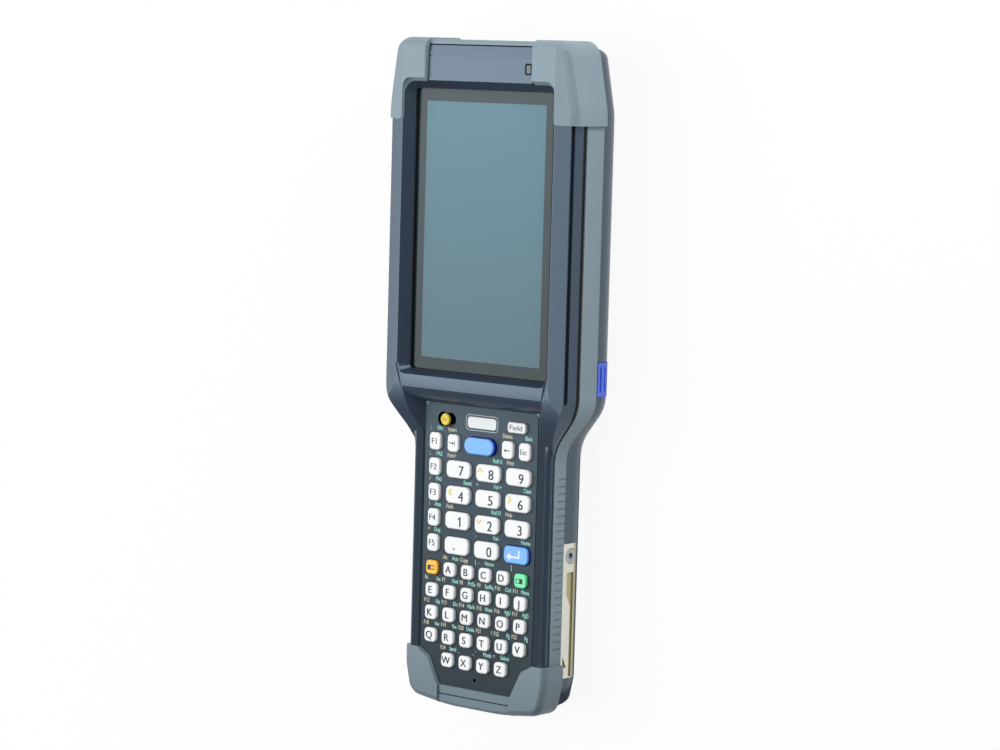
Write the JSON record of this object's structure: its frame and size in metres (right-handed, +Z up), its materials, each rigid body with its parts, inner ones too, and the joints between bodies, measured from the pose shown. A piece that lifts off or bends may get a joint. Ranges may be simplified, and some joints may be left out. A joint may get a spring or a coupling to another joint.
{
  "type": "portable barcode data terminal",
  "caption": "Handheld barcode data terminal: a wide display head on a narrow keypad grip, with rubber bumpers, side scan buttons and a lift-out battery.",
  "frame": {"origin": "middle of the back, where the terminal rests on its back", "axes": "+Y along the terminal to its scanning end, +Z up out of the screen, +X to the right of someone reading the screen"},
  "size_m": [0.0836, 0.228, 0.0306],
  "materials": {
    "housing": "fine moulded texture",
    "rear_shell": "fine moulded texture",
    "seal": "matt",
    "bumper": "matt overmould",
    "glass": "polished",
    "display": "dark display film",
    "magnesium": "cast",
    "panel": "fine texture",
    "silicone": "matt",
    "circuit_board": "solder mask",
    "black_plastic": "moulded",
    "window": "polished",
    "battery": "fine moulded texture",
    "latch": "moulded",
    "spring_steel": "bright",
    "blue_plastic": "moulded",
    "plate": "satin",
    "screw_steel": "bright",
    "contact": "gold plated",
    "silver_lens": "satin",
    "white_key": "moulded",
    "yellow_key": "moulded",
    "orange_key": "moulded",
    "green_key": "moulded"
  },
  "bodies": {
    "terminal": {"front_housing": "housing", "rear_housing": "rear_shell", "perimeter_seal": "seal", "top_bumper": "bumper", "bottom_bumper": "bumper", "side_rail_right": "bumper", "side_rail_left": "bumper", "touch_glass": "glass", "lcd_module": "display", "mid_frame": "magnesium", "keypad_panel": "panel", "keypad_mat": "silicone", "keypad_board": "circuit_board", "mainboard": "circuit_board", "scan_engine": "black_plastic", "scan_window": "window", "camera": "black_plastic", "speaker": "black_plastic", "latch_spring": "spring_steel", "side_plate_right": "plate", "side_plate_left": "plate", "side_screws": "screw_steel", "housing_screws": "screw_steel", "dock_connector": "contact", "status_led_lens": "window", "indicator_window": "silver_lens"},
    "key_power_body": {"key_power": "yellow_key"},
    "key_field_body": {"key_field": "white_key"},
    "key_f1_body": {"key_f1": "white_key"},
    "key_tab_body": {"key_tab": "white_key"},
    "key_scan_body": {"key_scan": "blue_plastic"},
    "key_back_body": {"key_back": "white_key"},
    "key_escape_body": {"key_escape": "white_key"},
    "key_f2_body": {"key_f2": "white_key"},
    "key_7_body": {"key_7": "white_key"},
    "key_8_body": {"key_8": "white_key"},
    "key_9_body": {"key_9": "white_key"},
    "key_f3_body": {"key_f3": "white_key"},
    "key_4_body": {"key_4": "white_key"},
    "key_5_body": {"key_5": "white_key"},
    "key_6_body": {"key_6": "white_key"},
    "key_f4_body": {"key_f4": "white_key"},
    "key_1_body": {"key_1": "white_key"},
    "key_2_body": {"key_2": "white_key"},
    "key_3_body": {"key_3": "white_key"},
    "key_f5_body": {"key_f5": "white_key"},
    "key_dot_body": {"key_dot": "white_key"},
    "key_0_body": {"key_0": "white_key"},
    "key_enter_body": {"key_enter": "blue_plastic"},
    "key_orange_body": {"key_orange": "orange_key"},
    "keys_a_d_body": {"keys_a_d": "white_key"},
    "key_green_body": {"key_green": "green_key"},
    "keys_e_j_body": {"keys_e_j": "white_key"},
    "keys_k_p_body": {"keys_k_p": "white_key"},
    "keys_q_v_body": {"keys_q_v": "white_key"},
    "keys_w_z_body": {"keys_w_z": "white_key"},
    "scan_button_right_body": {"scan_button_right": "blue_plastic"},
    "scan_button_left_body": {"scan_button_left": "blue_plastic"},
    "latch_body": {"battery_latch": "latch"},
    "battery_body": {"battery_pack": "battery"}
  },
  "joints": [
    {"name": "scan_button_right_press", "type": "slide", "parent": "terminal", "child": "scan_button_right_body", "axis": [-1, 0, 0], "range_m": [0, 0.0007], "stiffness_N_per_m": 600},
    {"name": "scan_button_left_press", "type": "slide", "parent": "terminal", "child": "scan_button_left_body", "axis": [1, 0, 0], "range_m": [0, 0.0007], "stiffness_N_per_m": 600},
    {"name": "battery_latch_slide", "type": "slide", "parent": "terminal", "child": "latch_body", "axis": [0, 1, 0], "range_m": [0, 0.003], "stiffness_N_per_m": 400, "deforming": ["latch_spring"]},
    {"name": "battery_lift_out", "type": "slide", "parent": "terminal", "child": "battery_body", "axis": [0, 0, -1], "range_m": [0, 0.025]},
    {"name": "key_power_press", "type": "slide", "parent": "terminal", "child": "key_power_body", "axis": [0, 0, -1], "range_m": [0, 0.0008], "stiffness_N_per_m": 300},
    {"name": "key_field_press", "type": "slide", "parent": "terminal", "child": "key_field_body", "axis": [0, 0, -1], "range_m": [0, 0.0008], "stiffness_N_per_m": 300},
    {"name": "key_f1_press", "type": "slide", "parent": "terminal", "child": "key_f1_body", "axis": [0, 0, -1], "range_m": [0, 0.0008], "stiffness_N_per_m": 300},
    {"name": "key_tab_press", "type": "slide", "parent": "terminal", "child": "key_tab_body", "axis": [0, 0, -1], "range_m": [0, 0.0008], "stiffness_N_per_m": 300},
    {"name": "key_scan_press", "type": "slide", "parent": "terminal", "child": "key_scan_body", "axis": [0, 0, -1], "range_m": [0, 0.0008], "stiffness_N_per_m": 300},
    {"name": "key_back_press", "type": "slide", "parent": "terminal", "child": "key_back_body", "axis": [0, 0, -1], "range_m": [0, 0.0008], "stiffness_N_per_m": 300},
    {"name": "key_escape_press", "type": "slide", "parent": "terminal", "child": "key_escape_body", "axis": [0, 0, -1], "range_m": [0, 0.0008], "stiffness_N_per_m": 300},
    {"name": "key_f2_press", "type": "slide", "parent": "terminal", "child": "key_f2_body", "axis": [0, 0, -1], "range_m": [0, 0.0008], "stiffness_N_per_m": 300},
    {"name": "key_7_press", "type": "slide", "parent": "terminal", "child": "key_7_body", "axis": [0, 0, -1], "range_m": [0, 0.0008], "stiffness_N_per_m": 300},
    {"name": "key_8_press", "type": "slide", "parent": "terminal", "child": "key_8_body", "axis": [0, 0, -1], "range_m": [0, 0.0008], "stiffness_N_per_m": 300},
    {"name": "key_9_press", "type": "slide", "parent": "terminal", "child": "key_9_body", "axis": [0, 0, -1], "range_m": [0, 0.0008], "stiffness_N_per_m": 300},
    {"name": "key_f3_press", "type": "slide", "parent": "terminal", "child": "key_f3_body", "axis": [0, 0, -1], "range_m": [0, 0.0008], "stiffness_N_per_m": 300},
    {"name": "key_4_press", "type": "slide", "parent": "terminal", "child": "key_4_body", "axis": [0, 0, -1], "range_m": [0, 0.0008], "stiffness_N_per_m": 300},
    {"name": "key_5_press", "type": "slide", "parent": "terminal", "child": "key_5_body", "axis": [0, 0, -1], "range_m": [0, 0.0008], "stiffness_N_per_m": 300},
    {"name": "key_6_press", "type": "slide", "parent": "terminal", "child": "key_6_body", "axis": [0, 0, -1], "range_m": [0, 0.0008], "stiffness_N_per_m": 300},
    {"name": "key_f4_press", "type": "slide", "parent": "terminal", "child": "key_f4_body", "axis": [0, 0, -1], "range_m": [0, 0.0008], "stiffness_N_per_m": 300},
    {"name": "key_1_press", "type": "slide", "parent": "terminal", "child": "key_1_body", "axis": [0, 0, -1], "range_m": [0, 0.0008], "stiffness_N_per_m": 300},
    {"name": "key_2_press", "type": "slide", "parent": "terminal", "child": "key_2_body", "axis": [0, 0, -1], "range_m": [0, 0.0008], "stiffness_N_per_m": 300},
    {"name": "key_3_press", "type": "slide", "parent": "terminal", "child": "key_3_body", "axis": [0, 0, -1], "range_m": [0, 0.0008], "stiffness_N_per_m": 300},
    {"name": "key_f5_press", "type": "slide", "parent": "terminal", "child": "key_f5_body", "axis": [0, 0, -1], "range_m": [0, 0.0008], "stiffness_N_per_m": 300},
    {"name": "key_dot_press", "type": "slide", "parent": "terminal", "child": "key_dot_body", "axis": [0, 0, -1], "range_m": [0, 0.0008], "stiffness_N_per_m": 300},
    {"name": "key_0_press", "type": "slide", "parent": "terminal", "child": "key_0_body", "axis": [0, 0, -1], "range_m": [0, 0.0008], "stiffness_N_per_m": 300},
    {"name": "key_enter_press", "type": "slide", "parent": "terminal", "child": "key_enter_body", "axis": [0, 0, -1], "range_m": [0, 0.0008], "stiffness_N_per_m": 300},
    {"name": "key_orange_press", "type": "slide", "parent": "terminal", "child": "key_orange_body", "axis": [0, 0, -1], "range_m": [0, 0.0008], "stiffness_N_per_m": 300},
    {"name": "keys_a_d_press", "type": "slide", "parent": "terminal", "child": "keys_a_d_body", "axis": [0, 0, -1], "range_m": [0, 0.0008], "stiffness_N_per_m": 300},
    {"name": "key_green_press", "type": "slide", "parent": "terminal", "child": "key_green_body", "axis": [0, 0, -1], "range_m": [0, 0.0008], "stiffness_N_per_m": 300},
    {"name": "keys_e_j_press", "type": "slide", "parent": "terminal", "child": "keys_e_j_body", "axis": [0, 0, -1], "range_m": [0, 0.0008], "stiffness_N_per_m": 300},
    {"name": "keys_k_p_press", "type": "slide", "parent": "terminal", "child": "keys_k_p_body", "axis": [0, 0, -1], "range_m": [0, 0.0008], "stiffness_N_per_m": 300},
    {"name": "keys_q_v_press", "type": "slide", "parent": "terminal", "child": "keys_q_v_body", "axis": [0, 0, -1], "range_m": [0, 0.0008], "stiffness_N_per_m": 300},
    {"name": "keys_w_z_press", "type": "slide", "parent": "terminal", "child": "keys_w_z_body", "axis": [0, 0, -1], "range_m": [0, 0.0008], "stiffness_N_per_m": 300}
  ]
}
